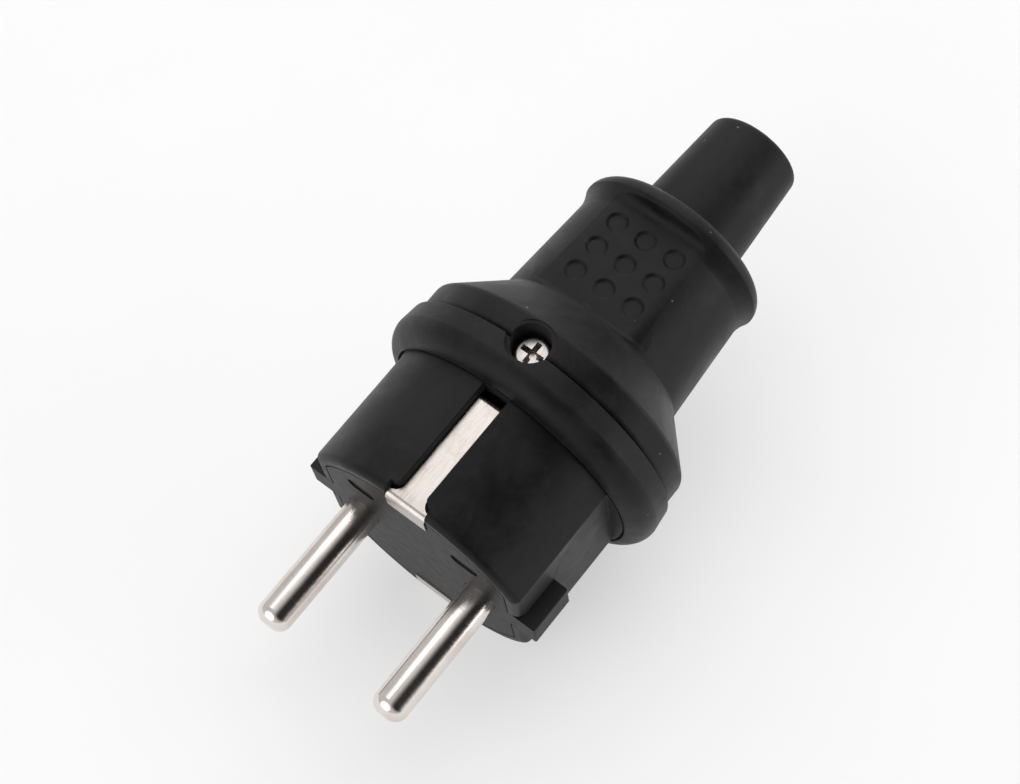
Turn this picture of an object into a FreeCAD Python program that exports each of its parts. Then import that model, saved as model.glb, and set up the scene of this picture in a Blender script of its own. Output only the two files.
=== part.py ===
import FreeCAD, Part
import math
import os

from FreeCAD import Vector

# A rewirable round earthed plug with two pins and two earth contacts, for a rubber cord.
# Each piece is modelled with the plug's axis along X: the face is at x = 0, the pins point to +X,
# and the earth contacts are at the top and bottom. "back" is a distance behind the face, in mm.
# At the end the whole plug is laid down as it rests: nose down on the front rim and the collar.

# Contact pins
pin_diameter = 4.8
pin_length = 19.0            # in front of the face
pin_spacing = 19.0
pin_tip_round = 1.7
root_diameter = 5.2          # in the face plate
root_taper = 1.0             # how far behind the face the pin has widened to its root
barrel_diameter = 6.4        # the pin's thicker end behind the face plate
barrel_length = 10.2
wire_hole_diameter = 2.6
wire_hole_depth = 7.4

# Pin carrier
carrier_depth = 16.2
face_plate = 3.4             # thickness in front of the pins' barrels
guide_rib_height = 4.6
guide_rib_rise = 2.2         # above the shell's flat
guide_rib_length = 6.8       # from the face
guide_rib_relief = 0.6       # height of the hollow in the shell beside the rib's front corner
guide_rib_relief_back = 1.0
guide_rib_relief_depth = 1.1  # below the shell's flat
oval_length = 4.2            # blank recess at each side of the face
oval_width = 2.3
oval_depth = 0.25
oval_aside = 8.2             # its middle, across and up from the axis
oval_above = 9.5
post_diameter = 5.2

# Front shell
barrel_cover = 5.4           # from a pin's barrel out to the nose's surface
shell_wall = 1.6             # round the pin carrier
shell_flat_depth = 2.0       # of the flat on each side
shell_flat_wall = 1.8
shell_edge_round = 1.0
shell_flat_round = 0.5
shell_cavity_step = 4.9      # from the nose's surface in to the cavity behind the web
post_length = 2.2            # of the carrier's screw posts, from its back to the web behind it
web_thickness = 2.0
web_hole_radius = 7.0
collar_rise = 3.1            # above the nose
collar_round = 3.2
collar_round_gap = 2.68      # from the web to the middle of the collar's rounding
parting_gap = 5.4            # from the web to where the rear cover begins
collar_rear_drop = 0.3
collar_slit = 0.35           # narrow gap between the collar's foot and the nose
collar_slit_reach = 0.6      # behind the web's front
spigot_wall = 1.8
spigot_length = 6.2
nut_boss_width = 8.0
nut_boss_depth = 3.4         # from the cavity's wall inwards
nut_boss_length = 7.0

# Earth strap
strap_thickness = 0.8
strap_width = 3.4
strap_web_width = 5.4        # of its cross piece, behind the carrier
strap_web_reach = 12.4       # from the axis to where the cross piece narrows
strap_proud = 0.3            # above the carrier's round side
strap_bend = 0.9
tab_width = 6.0
tab_height = 3.0
tab_proud = 0.2
tab_neck_round = 1.4
slot_width = 3.8
slot_gap = 0.6               # from the slot's end to the web
slot_bevel = 0.15
slot_notch_depth = 1.6
slot_corner_round = 0.9      # of the shell beside the tab's neck
terminal_side = 6.0
terminal_length = 6.0

# Rear cover
ring_step = 1.0              # below the collar
ring_length = 4.4
ring_edge_round = 0.9
shoulder_radius = 14.3       # where the shoulder ends
shoulder_length = 5.7
shoulder_step = 0.4
neck_radius = 14.0
neck_end_radius = 13.1
flange_radius = 13.9
neck_length = 15.5
flange_swell_length = 2.6
flange_length = 2.2
flange_crest_turn = 165       # degrees, where the flange's rounding ends
flange_swell_share = 0.3     # how far the neck has widened half-way to the flange's rim
sleeve_start_radius = 7.9
sleeve_end_radius = 6.9
sleeve_foot_round = 0.9
sleeve_length = 17.3         # behind the flange
sleeve_end_round = 0.9
cord_bore_diameter = 8.8
mouth_bevel = 0.5
saddle_room = 0.4            # between the saddle and the cover's hollow, on the radius
cavity_cone_length = 3.6     # from the front shell's spigot to the even part of the hollow
cavity_reach = 0.6           # behind the neck's end
pad_drop = 1.95              # of the flat grips, below the neck's surface at their middle
pad_reach = 1.9              # behind the neck's end
pad_start_round = 1.0
pad_end_round = 1.8
pad_side_round = 4.0         # where a pad blends into the round neck
dimple_rows = 3
dimple_diameter = 3.0
dimple_floor_diameter = 2.3
dimple_depth = 0.3
dimple_pitch_along = 4.35
dimple_pitch_across = 4.5
dimple_offset = 0.2          # behind the pad's middle

# Housing screws
housing_screw_gap = 0.8      # behind the parting
housing_screw_depth = 4.5    # of the seat, below the ring's surface
screw_well_diameter = 6.3
screw_well_lip = 0.5
screw_well_lip_depth = 0.2
housing_thread = 3.0
housing_head = 5.0
housing_head_height = 1.4
nut_side = 5.5
nut_thickness = 2.0
nut_depth = 2.2              # from the spigot's cavity wall to the nut's outer face

# Small screws
terminal_thread = 2.6
terminal_head = 4.2
terminal_head_height = 1.4
carrier_thread = 2.8
carrier_head = 5.0
carrier_head_height = 1.7
carrier_screw_grip = 6.5
earth_thread = 3.0
earth_head = 5.2
earth_head_height = 1.8
earth_washer_side = 6.0
earth_washer_thickness = 0.8
clamp_thread = 2.4
clamp_head = 4.0
clamp_head_height = 1.5
clamp_screw_reach = 4.6      # below the clamp
head_round_share = 0.45      # of the head's height
screw_tip_share = 0.15       # of the thread
recess_reach_share = 0.32    # of the head, for each arm of the cross
recess_width_share = 0.15
recess_depth_share = 0.8
recess_floor_share = 0.6     # of an arm's width
screw_end_gap = 0.5          # between a screw's tip and the end of its hole

# Cord clamp, seal and grommet
cord_diameter = 8.2
saddle_radius = 9.2
saddle_gap = 1.0             # behind the spigot
saddle_length = 10.0
saddle_foot = 10.0           # width of the foot that joins it to the spigot
saddle_foot_low = 8.3        # its lowest point below the axis, under the trough
saddle_hole_low = 5.7        # where the clamp's screw holes end, below the axis
clamp_inset = 2.2            # behind the saddle's front
clamp_length = 5.6
clamp_wall = 1.8
clamp_half_width = 8.2
clamp_land = 2.6
clamp_screw_offset = 6.2
seal_width = 1.4
seal_groove = 0.8
seal_gap = 2.0               # from the groove's front to the spigot's end
grommet_radius = 6.0
grommet_length = 5.4
grommet_flange_radius = 7.6
grommet_flange = 0.8

# Fits
sliding_fit = 0.1            # between parts that push into each other, on the radius
carrier_seam = 0.2           # round the pin carrier
thread_fit = 0.05            # between a screw and its hole, on the radius
rounding_min = 0.3
embed = 0.5                  # how far two parts of one moulding reach into each other
near = 1e-4                  # what counts as lying in a plane

axis_x = Vector(1, 0, 0)
axis_y = Vector(0, 1, 0)
origin = Vector(0, 0, 0)


def rod(back0, back1, radius, y=0.0, z=0.0):
    """A cylinder along the plug's axis."""
    return Part.makeCylinder(radius, back1 - back0, Vector(-back1, y, z), axis_x)


def post(z0, z1, radius, back, y=0.0):
    """An upright cylinder."""
    return Part.makeCylinder(radius, z1 - z0, Vector(-back, y, z0))


def block(back0, back1, y0, y1, z0, z1):
    return Part.makeBox(back1 - back0, y1 - y0, z1 - z0, Vector(-back1, y0, z0))


def wide_block(back0, back1, half_width, z0, z1):
    """A block that is even about the middle plane."""
    return block(back0, back1, -half_width, half_width, z0, z1)


def turned(steps):
    """A solid turned about the axis. A step is a corner (back, radius),
    or an arc as two such points: one on the way, and its end."""
    edges = []
    start = here = Vector(-steps[0][0], 0, steps[0][1])
    for step in steps[1:]:
        if isinstance(step[0], tuple):
            way, end = [Vector(-point[0], 0, point[1]) for point in step]
            edges.append(Part.Arc(here, way, end).toShape())
        else:
            end = Vector(-step[0], 0, step[1])
            edges.append(Part.makeLine(here, end))
        here = end
    edges.append(Part.makeLine(here, start))
    return Part.Face(Part.Wire(edges)).revolve(origin, axis_x, 360)


def round_corner(centre, radius, degrees0, degrees1):
    """An arc for turned(): angles run from the front, back along the plug, to outwards."""
    def at(degrees):
        turn = math.radians(degrees)
        return centre[0] - radius * math.cos(turn), centre[1] + radius * math.sin(turn)
    return at(degrees0), (at((degrees0 + degrees1) / 2), at(degrees1))


def rounded(shape, radius, wanted):
    """Rounds the edges for which wanted(edge) holds."""
    return shape.makeFillet(radius, [edge for edge in shape.Edges if wanted(edge)])


def opposite(shape):
    """The same piece on the other side, turned half round about the plug's axis."""
    other = shape.copy()
    other.rotate(origin, axis_x, 180)
    return other


def both(shape):
    return shape.fuse(opposite(shape))


def flat_sided(back0, back1, radius, flat):
    """A round bar with a flat on each side."""
    return rod(back0, back1, radius).common(wide_block(back0, back1, flat, -radius, radius))


def lies_across(edge, back):
    """Whether an edge lies wholly in the plane at that distance behind the face."""
    box = edge.BoundBox
    return abs(box.XMax + back) < near and abs(box.XMin + back) < near


def screw(thread, length, head, head_height):
    """An upright screw with a cross recess: its head stands on z = 0 and its shank goes down."""
    dome = rounded(Part.makeCylinder(head / 2, head_height), head_height * head_round_share,
                   lambda edge: edge.BoundBox.ZMin > head_height - near)
    tip = thread * screw_tip_share
    shank = Part.makeCylinder(thread / 2, length, Vector(0, 0, -length))
    shank = shank.makeChamfer(tip, [edge for edge in shank.Edges if edge.BoundBox.ZMax < tip - length])
    arm = head * recess_reach_share
    bar = head * recess_width_share
    depth = head_height * recess_depth_share
    cross = Part.makeBox(2 * arm, bar, depth, Vector(-arm, -bar / 2, head_height - depth))
    cross = cross.fuse(Part.makeBox(bar, 2 * arm, depth, Vector(-bar / 2, -arm, head_height - depth)))
    taper = Part.makeCone(bar * recess_floor_share, arm, depth, Vector(0, 0, head_height - depth))
    return dome.fuse(shank).removeSplitter().cut(cross.common(taper))


def upright_screw(size, back, y, z, length):
    piece = screw(size[0], length, size[1], size[2])
    piece.translate(Vector(-back, y, z))
    return piece


def axial_screw(size, back, y, z, length):
    """A screw driven from behind: its head stands on the plane at that distance."""
    piece = screw(size[0], length, size[1], size[2])
    piece.rotate(origin, axis_y, -90)
    piece.translate(Vector(-back, y, z))
    return piece


housing_screw = (housing_thread, housing_head, housing_head_height)
terminal_screw = (terminal_thread, terminal_head, terminal_head_height)
carrier_screw = (carrier_thread, carrier_head, carrier_head_height)
earth_screw = (earth_thread, earth_head, earth_head_height)
clamp_screw = (clamp_thread, clamp_head, clamp_head_height)

web_back = carrier_depth + post_length      # front of the web that the carrier is screwed to
web_rear = web_back + web_thickness
slot_back = web_back - slot_gap
collar_round_back = web_back + collar_round_gap
collar_slit_end = web_back + collar_slit_reach
parting_back = web_back + parting_gap
spigot_end = parting_back + spigot_length
housing_screw_back = parting_back + housing_screw_gap
seal_back = spigot_end - seal_gap
ring_back = parting_back + ring_length
shoulder_back = ring_back + shoulder_length
flange_start = shoulder_back + neck_length
flange_back = flange_start + flange_swell_length
flange_end = flange_back + flange_length
cover_length = flange_end + sleeve_length
cavity_start = spigot_end + cavity_cone_length
cavity_end = flange_start + cavity_reach
pad_start = shoulder_back + shoulder_step
pad_end = flange_start + pad_reach
dimple_centre = (pad_start + pad_end) / 2 + dimple_offset
saddle_start = spigot_end + saddle_gap
saddle_end = saddle_start + saddle_length
clamp_start = saddle_start + clamp_inset
clamp_end = clamp_start + clamp_length

cover_cavity_radius = saddle_radius + saddle_room
neck_middle = (neck_radius + neck_end_radius) / 2
pad_height = neck_middle - pad_drop
pin_y = pin_spacing / 2
shell_radius = pin_y + barrel_diameter / 2 + barrel_cover
barrel_end = face_plate + barrel_length
terminal_screw_back = barrel_end - wire_hole_depth / 2
shell_flat = shell_radius - shell_flat_depth
shell_cavity_radius = shell_radius - shell_cavity_step
carrier_radius = shell_radius - shell_wall - carrier_seam
carrier_flat = shell_flat - shell_flat_wall - carrier_seam
guide_rib_reach = shell_flat + guide_rib_rise
collar_radius = shell_radius + collar_rise
ring_radius = collar_radius - ring_step
spigot_radius = shell_cavity_radius + spigot_wall
housing_screw_seat = ring_radius - housing_screw_depth
strap_radius = carrier_radius + strap_proud
# The carrier's two screw posts stand where the screws' heads just clear the cavity's wall.
post_circle = shell_cavity_radius - carrier_head / 2 - 2 * sliding_fit
post_y = post_circle * math.sin(math.radians(45))
strap_inner = strap_radius - strap_thickness
strap_back = carrier_depth + strap_thickness
tab_back = strap_thickness - tab_proud
tab_low = strap_radius - tab_height
neck_start = strap_thickness + sliding_fit
nut_top = shell_cavity_radius - nut_depth + nut_thickness
nut_low = shell_cavity_radius - nut_depth
bore_radius = carrier_radius + carrier_seam
collar_centre = (collar_round_back, collar_radius - collar_round)
notch_half = tab_width / 2 + sliding_fit
# The nose rests on the two corners of the rim beside the lower earth tab's notch.
rim_centre = (shell_edge_round, math.sqrt(shell_radius ** 2 - notch_half ** 2) - shell_edge_round)


def contact_pin(side):
    """A turned pin: a rounded tip, a root that widens behind the face, and a barrel for the wire."""
    y = side * pin_y
    tip, tip_edge = round_corner((pin_tip_round - pin_length, pin_diameter / 2 - pin_tip_round),
                                 pin_tip_round, 0, 90)
    piece = turned([(-pin_length, 0), tip, tip_edge, (0, pin_diameter / 2), (root_taper, root_diameter / 2),
                    (face_plate, root_diameter / 2), (face_plate, barrel_diameter / 2),
                    (barrel_end, barrel_diameter / 2), (barrel_end, 0)])
    piece.translate(Vector(0, y, 0))
    piece = piece.cut(rod(barrel_end - wire_hole_depth, barrel_end + 1, wire_hole_diameter / 2, y))
    hole = post(0, barrel_diameter, terminal_thread / 2 + thread_fit, terminal_screw_back, y)
    return piece.cut(hole)


def pin_terminal_screw(side):
    """Holds a wire in the pin's barrel."""
    land = barrel_diameter / 2
    return upright_screw(terminal_screw, terminal_screw_back, side * pin_y, land, land - sliding_fit)


def pin_carrier():
    """The insert that holds the pins and the earth strap, with a guide rib at each side."""
    body = flat_sided(0, carrier_depth, carrier_radius, carrier_flat)
    rib = block(0, guide_rib_length, 0, guide_rib_reach,
                -guide_rib_height / 2, guide_rib_height / 2)
    rib = rounded(rib, rounding_min, lambda edge: edge.BoundBox.YMin > guide_rib_reach - near)
    post_rod = rod(carrier_depth, web_back, post_diameter / 2, post_y, post_y)
    body = body.fuse([both(rib), both(post_rod)]).removeSplitter()
    body = body.cut(both(strap_room()))
    body = body.cut(both(pin_hole()))
    body = body.cut(both(rod(face_plate, carrier_depth + 1, barrel_diameter / 2 + sliding_fit, pin_y)))
    for side in (-1, 1):
        body = body.cut(screw_channel(side * pin_y))
        body = body.cut(face_oval(side))
    half = terminal_side / 2 + sliding_fit
    room = wide_block(carrier_depth - terminal_length - sliding_fit, carrier_depth + 1, half, -half, half)
    body = body.cut(room)
    hole = rod(web_back - carrier_screw_grip, web_back + 1, carrier_thread / 2 + thread_fit, post_y, post_y)
    return body.cut(both(hole))


def pin_hole():
    """The hole in the face plate for a pin and its root."""
    front, behind = pin_diameter / 2 + thread_fit, root_diameter / 2 + thread_fit
    hole = turned([(-1, 0), (-1, front), (0, front), (root_taper, behind), (face_plate + 1, behind),
                   (face_plate + 1, 0)])
    hole.translate(Vector(0, pin_y, 0))
    return hole


def strap_room():
    """The recess in the face for an earth tab, and the groove along the carrier that the strap lies in."""
    half = strap_width / 2 + sliding_fit
    room = wide_block(-1, tab_back, notch_half, tab_low - sliding_fit, shell_radius)
    flare = wide_block(-1, neck_start + tab_neck_round + sliding_fit, notch_half, strap_inner, shell_radius)
    groove = wide_block(0, carrier_depth + 1, half, strap_inner, shell_radius)
    behind = wide_block(carrier_depth, carrier_depth + 1, half, strap_web_reach, shell_radius)
    room = room.fuse([flare, groove, behind]).removeSplitter()
    return rounded(room, strap_bend - strap_thickness + sliding_fit, lambda edge:
                   abs(edge.BoundBox.ZMin - strap_inner) < near and edge.BoundBox.ZLength < near
                   and (lies_across(edge, tab_back) or lies_across(edge, carrier_depth)))


def screw_channel(y):
    """Room for a terminal screw and the driver that turns it."""
    half = terminal_head / 2 + rounding_min
    return block(terminal_screw_back - half, terminal_screw_back + half, y - half, y + half,
                 0, carrier_radius)


def face_oval(side):
    """A blank recess between a pin and the rim."""
    y = side * oval_aside
    half = (oval_length - oval_width) / 2
    ends = [rod(-1, oval_depth, oval_width / 2, y + step, oval_above) for step in (-half, half)]
    middle = block(-1, oval_depth, y - half, y + half, oval_above - oval_width / 2,
                   oval_above + oval_width / 2)
    return middle.fuse(ends).removeSplitter()


def earth_strap():
    """One bent strip: two side contacts, a cross piece behind the carrier, and two tabs on the face."""
    outer = wide_block(-tab_proud, strap_back, tab_width / 2, -strap_radius, strap_radius)
    outer = rounded(outer, strap_bend, lambda edge: edge.BoundBox.YLength > tab_width - near)
    inner = wide_block(tab_back, carrier_depth, tab_width, -strap_inner, strap_inner)
    inner = rounded(inner, strap_bend - strap_thickness, lambda edge: edge.BoundBox.YLength > tab_width)
    strap = outer.cut(inner)
    strap = strap.cut(wide_block(-1, tab_back + sliding_fit, tab_width, -tab_low, tab_low))
    trim = block(neck_start, strap_back + 1, strap_width / 2, tab_width, strap_web_reach, strap_radius + 1)
    trim = rounded(trim, tab_neck_round, lambda edge: edge.BoundBox.ZLength > strap_thickness
                   and edge.BoundBox.XMin > -neck_start - near and edge.BoundBox.YMax < strap_width)
    side_trim = block(neck_start, strap_back + 1, strap_web_width / 2, tab_width,
                      -strap_web_reach, strap_web_reach)
    for half in (trim, trim.mirror(origin, axis_y), side_trim):
        strap = strap.cut(both(half))
    return strap.cut(rod(0, strap_back + 1, earth_thread / 2 + sliding_fit))


def earth_terminal():
    """The threaded block in the carrier that the earth screw goes into."""
    half = terminal_side / 2
    piece = wide_block(carrier_depth - terminal_length, carrier_depth, half, -half, half)
    return piece.cut(rod(0, carrier_depth + 1, earth_thread / 2 + thread_fit))


def earth_washer():
    half = earth_washer_side / 2
    piece = wide_block(strap_back, strap_back + earth_washer_thickness, half, -half, half)
    piece = rounded(piece, rounding_min, lambda edge: edge.BoundBox.XLength > earth_washer_thickness / 2
                    and edge.BoundBox.YLength < near)
    return piece.cut(rod(0, strap_back + 2, earth_thread / 2 + sliding_fit))


def earth_terminal_screw():
    head_back = strap_back + earth_washer_thickness
    length = head_back - carrier_depth + terminal_length - screw_end_gap
    return axial_screw(earth_screw, head_back, 0, 0, length)


def carrier_screw_piece():
    """Driven from behind, through the shell's web into the carrier's post."""
    length = web_thickness + carrier_screw_grip - screw_end_gap
    return axial_screw(carrier_screw, web_rear, post_y, post_y, length)


def screw_well():
    """The stepped hole for a housing screw, across the joint of shell and cover."""
    radius = screw_well_diameter / 2
    lip = ring_radius - screw_well_lip_depth
    well = post(lip, collar_radius + 1, radius, housing_screw_back)
    well = well.fuse(post(housing_screw_seat, lip + 1, radius - screw_well_lip, housing_screw_back))
    shank = post(0, housing_screw_seat + 1, housing_thread / 2 + 2 * sliding_fit, housing_screw_back)
    return well.fuse(shank)


def front_shell():
    """The front moulding: a nose with flats, a collar round its rear, and a spigot behind."""
    nose = flat_sided(0, web_rear, shell_radius, shell_flat)
    nose = rounded(nose, shell_flat_round, lambda edge: edge.BoundBox.XLength > web_back)
    nose = rounded(nose, shell_edge_round, lambda edge: lies_across(edge, 0))
    shell = nose.fuse([collar(), spigot(), both(nut_boss()), saddle()]).removeSplitter()
    slit = rod(slot_back - 1, collar_slit_end, shell_radius + collar_slit)
    shell = shell.cut(slit.cut(rod(0, parting_back, shell_radius)))
    shell = shell.cut(flat_sided(-1, web_back, bore_radius, carrier_flat + carrier_seam))
    shell = shell.cut(rod(web_back - 1, web_rear + 1, web_hole_radius))
    hole = rod(web_back - 1, web_rear + 1, carrier_thread / 2 + sliding_fit, post_y, post_y)
    shell = shell.cut(both(hole))
    shell = shell.cut(both(strap_slot()))
    shell = shell.cut(both(guide_rib_window()))
    shell = shell.cut(both(screw_well()))
    return shell.cut(both(nut_room()))


def collar():
    """The ring behind the nose, rounded at its front."""
    start, bulge = round_corner(collar_centre, collar_round, 0, 90)
    return turned([(start[0], shell_cavity_radius), start, bulge,
                   (parting_back, collar_radius - collar_rear_drop),
                   (parting_back, shell_cavity_radius)]).fuse(web())


def web():
    """The wall across the shell that the carrier's posts stand on."""
    return rod(web_back, web_rear, shell_radius - embed)


def spigot():
    """The tube that the rear cover slides over, with a groove for the seal."""
    floor = spigot_radius - seal_groove
    return turned([(parting_back - 1, shell_cavity_radius), (parting_back - 1, spigot_radius),
                   (seal_back, spigot_radius), (seal_back, floor), (seal_back + seal_width, floor),
                   (seal_back + seal_width, spigot_radius), (spigot_end, spigot_radius),
                   (spigot_end, shell_cavity_radius)])


def nut_boss():
    """Holds a square nut under a housing screw."""
    middle = shell_cavity_radius + embed
    return wide_block(web_rear - embed, web_rear + nut_boss_length, nut_boss_width / 2,
                      shell_cavity_radius - nut_boss_depth, middle)


def nut_room():
    half = nut_side / 2 + thread_fit
    return wide_block(housing_screw_back - half, web_rear + nut_boss_length + 1, half,
                      nut_low - thread_fit, nut_top + thread_fit)


def saddle():
    """The lower half of the cord clamp, on a foot that stands on the spigot."""
    trough = rod(saddle_start, saddle_end, saddle_radius)
    trough = trough.cut(wide_block(0, saddle_end + 1, saddle_radius + 1, 0, saddle_radius + 1))
    foot_start = web_rear + nut_boss_length - embed
    foot = wide_block(foot_start, spigot_end - sliding_fit, saddle_foot / 2, -shell_cavity_radius - embed,
                      -cord_diameter / 2)
    floor = wide_block(foot_start, saddle_start + 1, saddle_foot / 2, -saddle_foot_low,
                       -cord_diameter / 2)
    foot = foot.common(rod(0, saddle_end, shell_cavity_radius + embed))
    part = trough.fuse([foot, floor]).removeSplitter()
    part = part.cut(rod(0, saddle_end + 1, cord_diameter / 2))
    for side in (-1, 1):
        part = part.cut(post(-saddle_hole_low, 1, clamp_thread / 2 + thread_fit, clamp_middle,
                             side * clamp_screw_offset))
    return part


clamp_middle = (clamp_start + clamp_end) / 2


def strap_slot():
    """The slot along the nose for a side contact, wider at the front for its tab."""
    notch = wide_block(-1, slot_back, notch_half, tab_low - sliding_fit, shell_radius + 1)
    corner = block(slot_notch_depth, slot_back + 1, slot_width / 2, shell_radius, 0, shell_radius + 2)
    corner = rounded(corner, slot_corner_round, lambda edge: edge.BoundBox.XMin > -slot_notch_depth - near
                     and edge.BoundBox.ZLength > shell_radius and edge.BoundBox.YMax < slot_width)
    notch = notch.cut(corner).cut(corner.mirror(origin, axis_y))
    slot = wide_block(-1, slot_back, slot_width / 2, shell_cavity_radius, shell_radius + 1)
    low = math.sqrt(shell_radius ** 2 - (slot_width / 2) ** 2) - slot_bevel
    corners = [Vector(1, side * (slot_width / 2 + rise), low + rise) for side, rise in
               ((-1, 0), (1, 0), (1, 1), (-1, 1), (-1, 0))]
    bevel = Part.Face(Part.makePolygon(corners)).extrude(Vector(-slot_back - 1, 0, 0))
    return notch.fuse([slot, bevel])


def guide_rib_window():
    """The window in a flat of the nose that a guide rib passes through."""
    half = guide_rib_height / 2 + sliding_fit
    window = block(-1, guide_rib_length + sliding_fit, carrier_flat - 1, shell_radius + 2, -half, half)
    return window.fuse(block(-1, guide_rib_relief_back, shell_flat - guide_rib_relief_depth, shell_radius + 2,
                             0, half + guide_rib_relief))


def rear_cover():
    """The rubber grip: ring, shoulder, neck with two flat pads, flange and cord sleeve, in one piece."""
    cover = cover_outside().cut(both(pad_cut()))
    cover = cover.cut(cover_inside())
    cover = cover.cut(both(screw_well()))
    return cover.cut(both(dimples()))


def cover_outside():
    ring_in, ring_edge = round_corner((parting_back + ring_edge_round, ring_radius - ring_edge_round),
                                      ring_edge_round, 0, 90)
    rise = (ring_radius - shoulder_radius) / (shoulder_back - ring_back)
    turn = math.degrees(math.atan(rise))
    over, shoulder_edge = round_corner((ring_back - ring_edge_round, ring_radius - ring_edge_round),
                                       ring_edge_round, 90, 90 + turn)
    flange_round = flange_end - flange_back
    top, crest = round_corner((flange_back, flange_radius - flange_round), flange_round, 90,
                              flange_crest_turn)
    end_in, end_edge = round_corner((cover_length - sleeve_end_round, sleeve_end_radius - sleeve_end_round),
                                    sleeve_end_round, 90, 180)
    foot = sleeve_foot_round
    foot_way = foot * (1 - math.sin(math.radians(45)))
    swell = ((flange_start + flange_back) / 2,
             neck_end_radius + (flange_radius - neck_end_radius) * flange_swell_share)
    return turned([(parting_back, 0), ring_in, ring_edge, over, shoulder_edge,
                   (shoulder_back, shoulder_radius), (shoulder_back + shoulder_step, neck_radius),
                   (flange_start, neck_end_radius), (swell, top), crest,
                   (crest[1][0], sleeve_start_radius + foot),
                   ((crest[1][0] + foot_way, sleeve_start_radius + foot_way),
                    (crest[1][0] + foot, sleeve_start_radius)),
                   end_in, end_edge, (cover_length, 0)])


def cover_inside():
    """Everything hollow in the cover, from the spigot's seat to the mouth of the sleeve."""
    seat = spigot_radius + sliding_fit
    bore = cord_bore_diameter / 2
    grommet_end = cavity_end + grommet_length + sliding_fit
    return turned([(parting_back - 1, 0), (parting_back - 1, seat), (spigot_end + 2 * sliding_fit, seat),
                   (cavity_start, cover_cavity_radius), (cavity_end, cover_cavity_radius),
                   (cavity_end, grommet_radius), (grommet_end, grommet_radius), (grommet_end, bore),
                   (cover_length - mouth_bevel, bore), (cover_length, bore + mouth_bevel),
                   (cover_length + 1, bore + mouth_bevel), (cover_length + 1, 0)])


def leaned(shape):
    """Turns what is cut into a flat pad so that it follows the neck's taper."""
    lean = math.atan((neck_radius - neck_end_radius) / (flange_start - shoulder_back - shoulder_step))
    shape.rotate(Vector(-dimple_centre, 0, pad_height), axis_y, -math.degrees(lean))
    return shape


def pad_half():
    """Half of the tool for a flat pad: a flat, then an arc that runs out into the round neck."""
    low = pad_height - pad_side_round
    aside = math.sqrt((neck_middle - pad_side_round) ** 2 - low ** 2)
    turn = math.atan2(low, aside)
    half_turn = (math.pi / 2 + turn) / 2
    side_y, side_z = aside + pad_side_round * math.cos(turn), low + pad_side_round * math.sin(turn)
    corners = [Vector(-pad_start, y, z) for y, z in (
        (0, pad_height), (aside, pad_height),
        (aside + pad_side_round * math.cos(half_turn), low + pad_side_round * math.sin(half_turn)),
        (side_y, side_z), (side_y + neck_radius * math.sin(turn), side_z - neck_radius * math.cos(turn)),
        (2 * neck_radius, 2 * neck_radius), (0, 2 * neck_radius))]
    edges = [Part.makeLine(corners[0], corners[1]), Part.Arc(*corners[1:4]).toShape()]
    edges += [Part.makeLine(here, there) for here, there in zip(corners[3:], corners[4:] + corners[:1])]
    return Part.Face(Part.Wire(edges)).extrude(Vector(pad_start - pad_end, 0, 0))


def pad_cut():
    """What is taken off the neck for a flat pad: it curves up to the shoulder and to the flange."""
    half = pad_half()
    cut = half.fuse(half.mirror(origin, axis_y)).removeSplitter()
    for back, radius in ((pad_start, pad_start_round), (pad_end, pad_end_round)):
        cut = rounded(cut, radius, lambda edge: lies_across(edge, back)
                      and pad_height - pad_side_round < edge.BoundBox.ZMax < pad_height + near)
    return leaned(cut)


def dimples():
    """Shallow round recesses in a pad, in rows along and across."""
    middle = (dimple_rows - 1) / 2
    mouth = dimple_diameter - dimple_floor_diameter / 2
    holes = []
    for along in range(dimple_rows):
        for across in range(dimple_rows):
            back = dimple_centre + (along - middle) * dimple_pitch_along
            y = (across - middle) * dimple_pitch_across
            holes.append(Part.makeCone(dimple_floor_diameter / 2, mouth, 2 * dimple_depth,
                                       Vector(-back, y, pad_height - dimple_depth)))
    return leaned(Part.makeCompound(holes))


def housing_screw_piece():
    return upright_screw(housing_screw, housing_screw_back, 0, housing_screw_seat,
                         housing_screw_seat - nut_low + rounding_min)


def housing_nut():
    half = nut_side / 2
    nut = wide_block(housing_screw_back - half, housing_screw_back + half, half, nut_low, nut_top)
    nut = rounded(nut, rounding_min, lambda edge: edge.BoundBox.ZLength > nut_thickness / 2)
    return nut.cut(post(0, nut_top + 1, housing_thread / 2 + thread_fit, housing_screw_back))


def housing_seal():
    """The rubber ring in the spigot's groove, pressed flat by the cover."""
    inner = spigot_radius - seal_groove
    ring = rod(seal_back, seal_back + seal_width, spigot_radius + sliding_fit)
    return ring.cut(rod(seal_back - 1, seal_back + seal_width + 1, inner))


def cord_clamp():
    """The bridge that presses the cord into the saddle."""
    arch = rod(clamp_start, clamp_end, cord_diameter / 2 + clamp_wall)
    arch = arch.cut(wide_block(0, clamp_end + 1, saddle_radius, -saddle_radius, 0))
    lands = wide_block(clamp_start, clamp_end, clamp_half_width, 0, clamp_land)
    lands = rounded(lands, rounding_min, lambda edge: edge.BoundBox.ZLength > clamp_land / 2)
    clamp = arch.fuse(lands).removeSplitter().cut(rod(0, clamp_end + 1, cord_diameter / 2))
    for side in (-1, 1):
        clamp = clamp.cut(post(-1, saddle_radius, clamp_thread / 2 + sliding_fit, clamp_middle,
                               side * clamp_screw_offset))
        clamp = clamp.cut(post(clamp_land, saddle_radius, clamp_head / 2 + sliding_fit, clamp_middle,
                               side * clamp_screw_offset))
    return clamp


def clamp_screw_piece(side):
    return upright_screw(clamp_screw, clamp_middle, side * clamp_screw_offset, clamp_land,
                         clamp_land + clamp_screw_reach)


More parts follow.
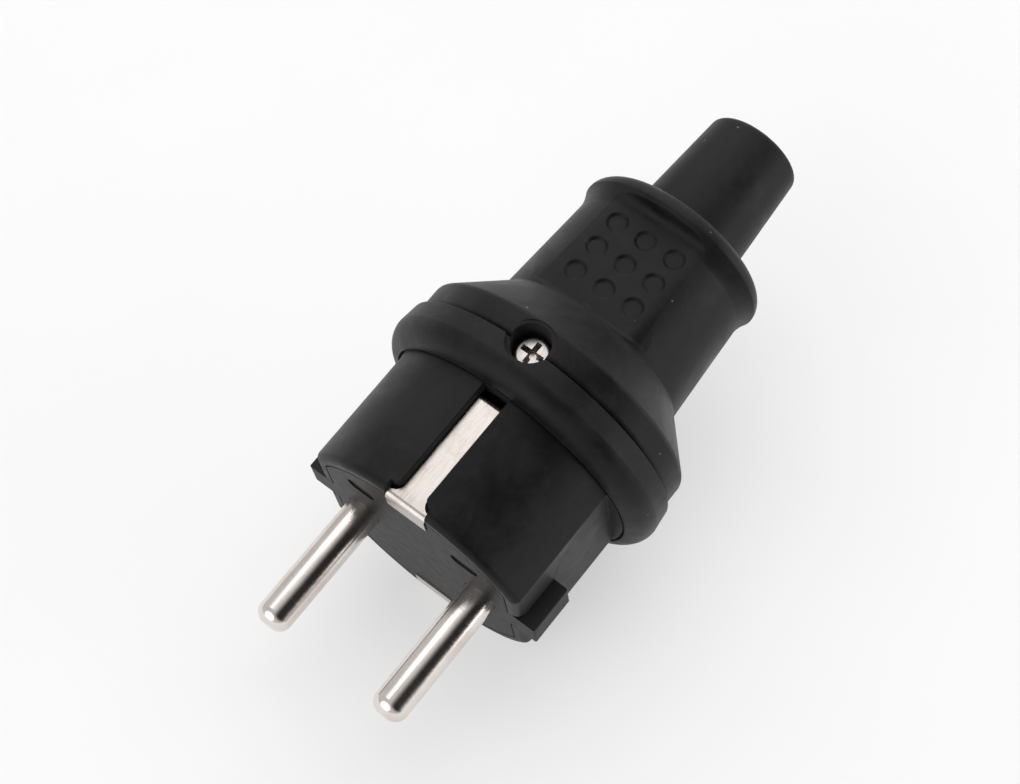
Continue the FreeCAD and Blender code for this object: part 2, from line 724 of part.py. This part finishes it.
def cord_grommet():
    """The flanged rubber ring where the cord enters the sleeve."""
    inner = cord_diameter / 2
    rim = grommet_radius - sliding_fit
    front = cavity_end - grommet_flange
    return turned([(front, inner), (front, grommet_flange_radius), (cavity_end, grommet_flange_radius),
                   (cavity_end, rim), (cavity_end + grommet_length, rim),
                   (cavity_end + grommet_length, inner)])


def rest_tilt():
    """The angle, nose down, at which the front rim's two corners and the collar all touch the floor."""
    run = collar_centre[0] - rim_centre[0]
    rise = collar_centre[1] - rim_centre[1]
    apart = math.hypot(run, rise)
    return math.atan2(rise, run) + math.asin((collar_round - shell_edge_round) / apart)


def lay_down(shapes):
    """Turns and moves all pieces: the floor is z = 0 and the origin is under the middle of the plug."""
    for shape in shapes.values():
        shape.rotate(origin, axis_y, math.degrees(rest_tilt()))
    whole = Part.makeCompound(list(shapes.values())).optimalBoundingBox(False, False)
    turn = FreeCAD.Rotation(axis_y, math.degrees(rest_tilt()))
    floor = turn.multVec(Vector(-rim_centre[0], 0, -rim_centre[1])).z - shell_edge_round
    step = Vector(-(whole.XMin + whole.XMax) / 2, 0, -floor)
    for shape in shapes.values():
        shape.translate(step)
    return turn, step


def build():
    upper_screw = housing_screw_piece()
    upper_nut = housing_nut()
    upper_carrier_screw = carrier_screw_piece()
    return {
        "front_shell": front_shell(),
        "pin_carrier": pin_carrier(),
        "line_pin": contact_pin(-1),
        "neutral_pin": contact_pin(1),
        "line_terminal_screw": pin_terminal_screw(-1),
        "neutral_terminal_screw": pin_terminal_screw(1),
        "earth_strap": earth_strap(),
        "earth_terminal": earth_terminal(),
        "earth_washer": earth_washer(),
        "earth_terminal_screw": earth_terminal_screw(),
        "upper_carrier_screw": upper_carrier_screw,
        "lower_carrier_screw": opposite(upper_carrier_screw),
        "rear_cover": rear_cover(),
        "upper_housing_screw": upper_screw,
        "lower_housing_screw": opposite(upper_screw),
        "upper_housing_nut": upper_nut,
        "lower_housing_nut": opposite(upper_nut),
        "housing_seal": housing_seal(),
        "cord_clamp": cord_clamp(),
        "left_clamp_screw": clamp_screw_piece(-1),
        "right_clamp_screw": clamp_screw_piece(1),
        "cord_grommet": cord_grommet(),
    }


pieces = build()
turn, step = lay_down(pieces)
os.makedirs("parts", exist_ok=True)
for name, piece in pieces.items():
    box = piece.optimalBoundingBox(False, False)
    print(f"{name:24s} solids {len(piece.Solids)} valid {piece.isValid()} volume {piece.Volume:8.1f}"
          f"  x {box.XMin:.2f}..{box.XMax:.2f}  y {box.YMin:.2f}..{box.YMax:.2f}"
          f"  z {box.ZMin:.2f}..{box.ZMax:.2f}")
    piece.exportStep(f"parts/{name}.step")
print("tilt", round(math.degrees(rest_tilt()), 4), "degrees, moved by", step)
for label, back, y in (("face", 0, 0), ("line pin root", 0, -pin_y), ("neutral pin root", 0, pin_y),
                       ("cord mouth", cover_length, 0)):
    point = turn.multVec(Vector(-back, y, 0)) + step
    print(f"{label}: {point.x:.4f} {point.y:.4f} {point.z:.4f}")
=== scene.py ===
import bpy, math
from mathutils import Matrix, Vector

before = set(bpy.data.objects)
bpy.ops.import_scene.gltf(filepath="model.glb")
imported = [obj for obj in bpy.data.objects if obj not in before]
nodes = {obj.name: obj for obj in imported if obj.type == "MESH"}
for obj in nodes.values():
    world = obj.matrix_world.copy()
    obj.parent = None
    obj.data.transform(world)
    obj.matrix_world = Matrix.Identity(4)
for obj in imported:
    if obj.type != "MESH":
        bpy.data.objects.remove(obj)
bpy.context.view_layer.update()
mm = 0.001

# The plug lies nose down: its axis is tilted about Y and meets the face at facePlace.
plugPose = {"tilt": math.radians(9.6068), "facePlace": (26.3185 * mm, 0.0, 17.4296 * mm)}

mixShare, mixFirst, mixSecond, mixResult = 0, 6, 7, 2  # sockets of a Mix node that mixes colours


def linear(code, alpha=1.0):  # sRGB hex to linear
    parts = [int(code[i:i + 2], 16) / 255 for i in (1, 3, 5)]
    return [c / 12.92 if c <= 0.04045 else ((c + 0.055) / 1.055) ** 2.4 for c in parts] + [alpha]


def addNode(tree, kind, settings={}, links={}):  # capitals and numbers are inputs, the rest properties
    node = tree.nodes.new("ShaderNode" + kind)
    for key, value in settings.items():
        if isinstance(key, int) or key[0].isupper():
            node.inputs[key].default_value = value
        else:
            setattr(node, key, value)
    for key, socket in links.items():
        tree.links.new(socket, node.inputs[key])
    return node


def startMaterial(name, settings):
    material = bpy.data.materials.new(name)
    material.use_nodes = True
    tree = material.node_tree
    tree.nodes.clear()
    shader = addNode(tree, "BsdfPrincipled", settings)
    addNode(tree, "OutputMaterial", {}, {"Surface": shader.outputs[0]})
    objectCoords = addNode(tree, "TexCoord").outputs["Object"]
    along = addNode(tree, "Mapping", {"vector_type": "TEXTURE", "Location": plugPose["facePlace"],
                                      "Rotation": (0, plugPose["tilt"], 0)}, {"Vector": objectCoords})
    return material, tree, shader, along.outputs[0]  # the last are coordinates along the plug


def paint(look, *names):
    for name in names:
        nodes[name].data.materials.clear()
        nodes[name].data.materials.append(look)


# Black rubber, compression moulded in an eroded mould: satin and finely pebbled, so its highlights are
# broad and soft, and its edges are never quite sharp. Handling has left a cloudy grey bloom, a few pale
# specks of dust and fine rubbed lines. The pebbles are drawn coarser than they are, so that they show.
rubberLook = {  # sizes, edges and heights in mm; a range is the part of a noise that shows
    "shader": {"IOR": 1.45, "Specular IOR Level": 0.21, "Sheen Weight": 0.08, "Sheen Roughness": 0.4},
    "roughness": (0.4, 0.58), "roughRange": (0.35, 0.65),
    "black": "#0a0a0b", "edge": 0.2,
    "bloom": "#1c1c1d", "bloomSize": 6.5, "bloomRange": (0.45, 0.7),
    "cloud": "#171718", "cloudSize": 1.7, "cloudRange": (0.5, 0.8),
    "rub": "#4c4b4a", "rubSize": 14.0, "rubLevel": 0.56, "rubWidth": 0.006, "rubShare": 0.7,
    "rubRange": (0.6, 0.68),
    "speck": "#6f6e6c", "speckPitch": 5.5, "speckSize": 0.035, "speckCore": 0.6, "speckShare": 0.8,
    "waveSize": 4.0, "waveHeight": 0.03, "pebbleSize": 0.3, "pebbleHeight": 0.012,
}


def mouldedRubber(name, look):
    material, tree, shader, along = startMaterial(name, look["shader"])
    edges = addNode(tree, "Bevel", {"samples": 4, "Radius": look["edge"] * mm})

    # Black, with bloom in broad clouds and small ones.
    bloom = addNode(tree, "TexNoise", {"Scale": 1 / (look["bloomSize"] * mm), "Detail": 6.0,
                                       "Roughness": 0.66, "Distortion": 0.6}, {"Vector": along})
    low, high = look["bloomRange"]
    bloomShare = addNode(tree, "MapRange", {"From Min": low, "From Max": high}, {"Value": bloom.outputs[0]})
    bloomed = addNode(tree, "Mix", {"data_type": "RGBA", mixFirst: linear(look["black"]),
                                    mixSecond: linear(look["bloom"])}, {mixShare: bloomShare.outputs[0]})
    cloud = addNode(tree, "TexNoise", {"Scale": 1 / (look["cloudSize"] * mm), "Detail": 4.0},
                    {"Vector": along})
    low, high = look["cloudRange"]
    cloudShare = addNode(tree, "MapRange", {"From Min": low, "From Max": high}, {"Value": cloud.outputs[0]})
    clouded = addNode(tree, "Mix", {"data_type": "RGBA", mixSecond: linear(look["cloud"])},
                      {mixShare: cloudShare.outputs[0], mixFirst: bloomed.outputs[mixResult]})

    # Rubbed lines follow one level of a broad noise, where the bloom is thick.
    line = addNode(tree, "TexNoise", {"Scale": 1 / (look["rubSize"] * mm), "Detail": 1.0,
                                      "Distortion": 1.5}, {"Vector": along})
    offLine = addNode(tree, "Math", {"operation": "SUBTRACT", 1: look["rubLevel"]}, {0: line.outputs[0]})
    fromLine = addNode(tree, "Math", {"operation": "ABSOLUTE"}, {0: offLine.outputs[0]})
    onLine = addNode(tree, "MapRange", {"From Min": 0.0, "From Max": look["rubWidth"],
                                        "To Min": look["rubShare"], "To Max": 0.0},
                     {"Value": fromLine.outputs[0]})
    low, high = look["rubRange"]
    inBloom = addNode(tree, "MapRange", {"From Min": low, "From Max": high}, {"Value": bloom.outputs[0]})
    rubShare = addNode(tree, "Math", {"operation": "MULTIPLY"}, {0: onLine.outputs[0], 1: inBloom.outputs[0]})
    rubbed = addNode(tree, "Mix", {"data_type": "RGBA", mixSecond: linear(look["rub"])},
                     {mixShare: rubShare.outputs[0], mixFirst: clouded.outputs[mixResult]})

    # One speck of dust in each cell, its size a share of the pitch.
    dust = addNode(tree, "TexVoronoi", {"Scale": 1 / (look["speckPitch"] * mm), "Randomness": 1.0},
                   {"Vector": along})
    dustShare = addNode(tree, "MapRange", {"From Min": look["speckSize"] * look["speckCore"],
                                           "From Max": look["speckSize"], "To Min": look["speckShare"],
                                           "To Max": 0.0}, {"Value": dust.outputs["Distance"]})
    dusty = addNode(tree, "Mix", {"data_type": "RGBA", mixSecond: linear(look["speck"])},
                    {mixShare: dustShare.outputs[0], mixFirst: rubbed.outputs[mixResult]})

    low, high = look["roughRange"]
    smoothest, roughest = look["roughness"]
    rough = addNode(tree, "MapRange", {"From Min": low, "From Max": high, "To Min": smoothest,
                                       "To Max": roughest}, {"Value": bloom.outputs[0]})
    wave = addNode(tree, "TexNoise", {"Scale": 1 / (look["waveSize"] * mm), "Detail": 2.0},
                   {"Vector": along})
    broad = addNode(tree, "Bump", {"Strength": 1.0, "Distance": look["waveHeight"] * mm},
                    {"Height": wave.outputs[0], "Normal": edges.outputs[0]})
    pebble = addNode(tree, "TexNoise", {"Scale": 1 / (look["pebbleSize"] * mm), "Detail": 3.0},
                     {"Vector": along})
    fine = addNode(tree, "Bump", {"Strength": 1.0, "Distance": look["pebbleHeight"] * mm},
                   {"Height": pebble.outputs[0], "Normal": broad.outputs[0]})
    tree.links.new(dusty.outputs[mixResult], shader.inputs["Base Color"])
    tree.links.new(rough.outputs[0], shader.inputs["Roughness"])
    tree.links.new(fine.outputs[0], shader.inputs["Normal"])
    return material


# The seal and the grommet are a softer, greyer rubber with a finer skin.
sealLook = dict(rubberLook, black="#19191a", bloom="#2b2b2c", pebbleSize=0.25)

# Glass-filled nylon, moulded: hard and black, with a slightly mottled, semi-matte skin.
nylonLook = {
    "shader": {"IOR": 1.53, "Specular IOR Level": 0.2},
    "roughness": (0.46, 0.54), "roughRange": (0.3, 0.7),
    "dark": "#101011", "pale": "#171718", "mottleSize": 1.6, "edge": 0.15,
    "grainSize": 0.25, "grainHeight": 0.004,
}


def mouldedNylon(name, look):
    material, tree, shader, along = startMaterial(name, look["shader"])
    edges = addNode(tree, "Bevel", {"samples": 4, "Radius": look["edge"] * mm})
    mottle = addNode(tree, "TexNoise", {"Scale": 1 / (look["mottleSize"] * mm), "Detail": 4.0},
                     {"Vector": along})
    colour = addNode(tree, "Mix", {"data_type": "RGBA", mixFirst: linear(look["dark"]),
                                   mixSecond: linear(look["pale"])}, {mixShare: mottle.outputs[0]})
    low, high = look["roughRange"]
    smoothest, roughest = look["roughness"]
    rough = addNode(tree, "MapRange", {"From Min": low, "From Max": high, "To Min": smoothest,
                                       "To Max": roughest}, {"Value": mottle.outputs[0]})
    grain = addNode(tree, "TexNoise", {"Scale": 1 / (look["grainSize"] * mm), "Detail": 2.0},
                    {"Vector": along})
    bump = addNode(tree, "Bump", {"Strength": 1.0, "Distance": look["grainHeight"] * mm},
                   {"Height": grain.outputs[0], "Normal": edges.outputs[0]})
    tree.links.new(colour.outputs[mixResult], shader.inputs["Base Color"])
    tree.links.new(rough.outputs[0], shader.inputs["Roughness"])
    tree.links.new(bump.outputs[0], shader.inputs["Normal"])
    return material


# Nickel plate. On the pins it is turned and polished: bright, faintly warm, with hair-fine rings.
# On the strip and the housing screws it is rolled: a little softer, with streaks along the plug.
# Zinc plate on the inner screws is duller and even. The brass block is drawn bar, streaked along its length.
# "stretch" is the number of lines in a mm along the plug, across it and up.
pinLook = {"metal": "#e4ddd8", "stain": "#d3c8c1", "roughness": (0.12, 0.22), "stretch": (12.0, 0.6, 0.6),
           "lineHeight": 0.0012, "stainSize": 4.0}
stripLook = {"metal": "#c0b9b4", "stain": "#a79e98", "roughness": (0.2, 0.34), "stretch": (0.5, 9.0, 9.0),
             "lineHeight": 0.0015, "stainSize": 3.0}
zincLook = {"metal": "#bfc0c2", "stain": "#a5a6a8", "roughness": (0.28, 0.42), "stretch": (3.0, 3.0, 3.0),
            "lineHeight": 0.002, "stainSize": 1.5}
brassLook = {"metal": "#c9a35c", "stain": "#a98445", "roughness": (0.24, 0.38), "stretch": (0.7, 7.0, 7.0),
             "lineHeight": 0.002, "stainSize": 2.0}
metalRanges = {"stain": (0.45, 0.75), "rough": (0.3, 0.7)}


def metal(name, look):
    material, tree, shader, along = startMaterial(name, {"Metallic": 1.0})
    stain = addNode(tree, "TexNoise", {"Scale": 1 / (look["stainSize"] * mm), "Detail": 4.0},
                    {"Vector": along})
    low, high = metalRanges["stain"]
    stainShare = addNode(tree, "MapRange", {"From Min": low, "From Max": high}, {"Value": stain.outputs[0]})
    colour = addNode(tree, "Mix", {"data_type": "RGBA", mixFirst: linear(look["metal"]),
                                   mixSecond: linear(look["stain"])}, {mixShare: stainShare.outputs[0]})
    stretched = addNode(tree, "VectorMath", {"operation": "MULTIPLY", 1: [s / mm for s in look["stretch"]]},
                        {0: along})
    lines = addNode(tree, "TexNoise", {"Scale": 1.0, "Detail": 3.0}, {"Vector": stretched.outputs[0]})
    low, high = metalRanges["rough"]
    smoothest, roughest = look["roughness"]
    rough = addNode(tree, "MapRange", {"From Min": low, "From Max": high, "To Min": smoothest,
                                       "To Max": roughest}, {"Value": lines.outputs[0]})
    bump = addNode(tree, "Bump", {"Strength": 1.0, "Distance": look["lineHeight"] * mm},
                   {"Height": lines.outputs[0]})
    tree.links.new(colour.outputs[mixResult], shader.inputs["Base Color"])
    tree.links.new(rough.outputs[0], shader.inputs["Roughness"])
    tree.links.new(bump.outputs[0], shader.inputs["Normal"])
    return material


paint(mouldedRubber("compressionMouldedRubber", rubberLook), "front_shell", "rear_cover")
paint(mouldedRubber("softSealRubber", sealLook), "housing_seal", "cord_grommet")
paint(mouldedNylon("glassFilledNylon", nylonLook), "pin_carrier", "cord_clamp")
paint(metal("polishedNickelPlate", pinLook), "line_pin", "neutral_pin")
paint(metal("rolledNickelPlate", stripLook), "earth_strap", "upper_housing_screw", "lower_housing_screw")
paint(metal("zincPlatedSteel", zincLook), "line_terminal_screw", "neutral_terminal_screw", "earth_washer",
      "earth_terminal_screw", "upper_carrier_screw", "lower_carrier_screw", "upper_housing_nut",
      "lower_housing_nut", "left_clamp_screw", "right_clamp_screw")
paint(metal("machinedBrass", brassLook), "earth_terminal")
print("stage: materials on", len(nodes), "pieces")


# A pale table. What the camera and polished metal see of it is partly its own even white.
floorLook = {"size": 3.0, "paint": "#f1f1f1", "mottle": "#f6f6f6", "mottleSize": 25.0, "roughness": 0.9,
             "white": "#fefefe", "whiteShare": 0.5}
bpy.ops.object.select_all(action="DESELECT")
bpy.ops.mesh.primitive_plane_add(size=floorLook["size"], location=(0, 0, 0))
floor = bpy.context.object
floor.name = "floor"
floorPaint, floorTree, floorShader, floorAlong = startMaterial("matteFloorPaint",
                                                               {"Roughness": floorLook["roughness"]})
mottle = addNode(floorTree, "TexNoise", {"Scale": 1 / (floorLook["mottleSize"] * mm), "Detail": 3.0},
                 {"Vector": floorAlong})
tone = addNode(floorTree, "Mix", {"data_type": "RGBA", mixFirst: linear(floorLook["paint"]),
                                  mixSecond: linear(floorLook["mottle"])}, {mixShare: mottle.outputs[0]})
floorTree.links.new(tone.outputs[mixResult], floorShader.inputs["Base Color"])
rays = addNode(floorTree, "LightPath")
seen = addNode(floorTree, "Math", {"operation": "MAXIMUM"}, {0: rays.outputs["Is Camera Ray"],
                                                             1: rays.outputs["Is Glossy Ray"]})
whiteShare = addNode(floorTree, "Math", {"operation": "MULTIPLY", 1: floorLook["whiteShare"]},
                     {0: seen.outputs[0]})
white = addNode(floorTree, "Emission", {"Color": linear(floorLook["white"]), "Strength": 1.0})
blend = addNode(floorTree, "MixShader", {}, {0: whiteShare.outputs[0], 1: floorShader.outputs[0],
                                             2: white.outputs[0]})
floorTree.links.new(blend.outputs[0], floorTree.nodes["Material Output"].inputs["Surface"])
floor.data.materials.append(floorPaint)

# A big soft lamp over the cord end, low ones beyond the plug's right and in front of the pins, and an
# even white room with one dim side, which draws the dark line on the pins. Powers in W, sizes in m.
lampLook = {
    "keyLamp": {"power": 12.6, "place": (-0.7, -0.42, 1.0), "size": 2.0},
    "sideLamp": {"power": 8.0, "place": (-0.65, 1.1, 0.16), "size": 1.1},
    "frontLamp": {"power": 7.0, "place": (1.15, -0.25, 0.55), "size": 1.4},
}
for name, look in lampLook.items():
    bpy.ops.object.light_add(type="AREA", location=look["place"])
    lamp = bpy.context.object
    lamp.name = name
    lamp.data.shape = "DISK"
    lamp.data.size = look["size"]
    lamp.data.energy = look["power"]
    lamp.rotation_euler = (-Vector(look["place"])).to_track_quat("-Z", "Y").to_euler()

roomLook = {"colour": "#ffffff", "dimSide": (0.05, 0.76, 0.65), "dimRange": (0.66, 0.97),
            "bright": 0.62, "dim": 0.02}
world = bpy.data.worlds.new("studio")
bpy.context.scene.world = world
world.use_nodes = True
world.node_tree.nodes.clear()
outwards = addNode(world.node_tree, "TexCoord").outputs["Generated"]
facing = addNode(world.node_tree, "VectorMath", {"operation": "DOT_PRODUCT", 1: roomLook["dimSide"]},
                 {0: outwards})
low, high = roomLook["dimRange"]
level = addNode(world.node_tree, "MapRange",
                {"interpolation_type": "SMOOTHSTEP", "From Min": low, "From Max": high,
                 "To Min": roomLook["bright"], "To Max": roomLook["dim"]},
                {"Value": facing.outputs["Value"]})
sky = addNode(world.node_tree, "Background", {"Color": linear(roomLook["colour"])},
              {"Strength": level.outputs[0]})
addNode(world.node_tree, "OutputWorld", {}, {"Surface": sky.outputs[0]})

# The photograph's viewing angle, from above and in front of the pins' side.
cameraLook = {"place": (0.11085, 0.07525, 0.2447), "turn": (0.54176, -0.02307, 2.24581),
              "lens": 70.841, "sensor": 36.0, "nearest": 0.01}
bpy.ops.object.camera_add(location=cameraLook["place"], rotation=cameraLook["turn"])
camera = bpy.context.object
camera.name = "photoCamera"
camera.data.sensor_fit = "HORIZONTAL"
camera.data.sensor_width = cameraLook["sensor"]
camera.data.lens = cameraLook["lens"]
camera.data.clip_start = cameraLook["nearest"]
bpy.context.scene.camera = camera
bpy.context.scene.view_settings.view_transform = "Standard"
print("stage: floor, lamps and camera set")
